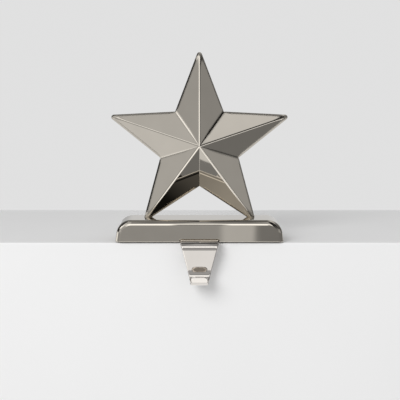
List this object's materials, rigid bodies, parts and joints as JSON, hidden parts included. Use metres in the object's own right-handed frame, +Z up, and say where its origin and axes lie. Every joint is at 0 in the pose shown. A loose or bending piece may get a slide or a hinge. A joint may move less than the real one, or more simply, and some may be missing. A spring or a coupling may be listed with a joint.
{
  "type": "mantel stocking holder",
  "caption": "Shelf-edge stocking holder: a polished faceted star on a heavy bar base, with a bent strip hook that hangs over the shelf's front edge.",
  "frame": {"origin": "middle of the underside, on the pad's face that rests on the shelf", "axes": "+X to the right along the shelf, +Y back towards the wall, +Z up; the hook hangs on the -Y side"},
  "size_m": [0.129, 0.0627, 0.166],
  "materials": {
    "polished_nickel": "mirror-polished warm nickel plate on a casting",
    "hook_nickel": "mirror-polished warm nickel plate on bent strip",
    "fastener_steel": "plain zinc-plated steel",
    "pad_foam": "matt closed-cell foam sheet"
  },
  "bodies": {
    "root": {"base": "polished_nickel", "star": "polished_nickel", "hook": "hook_nickel", "hook_screws": "fastener_steel", "star_nuts": "fastener_steel", "star_washers": "fastener_steel", "non_slip_pad": "pad_foam"}
  },
  "joints": []
}
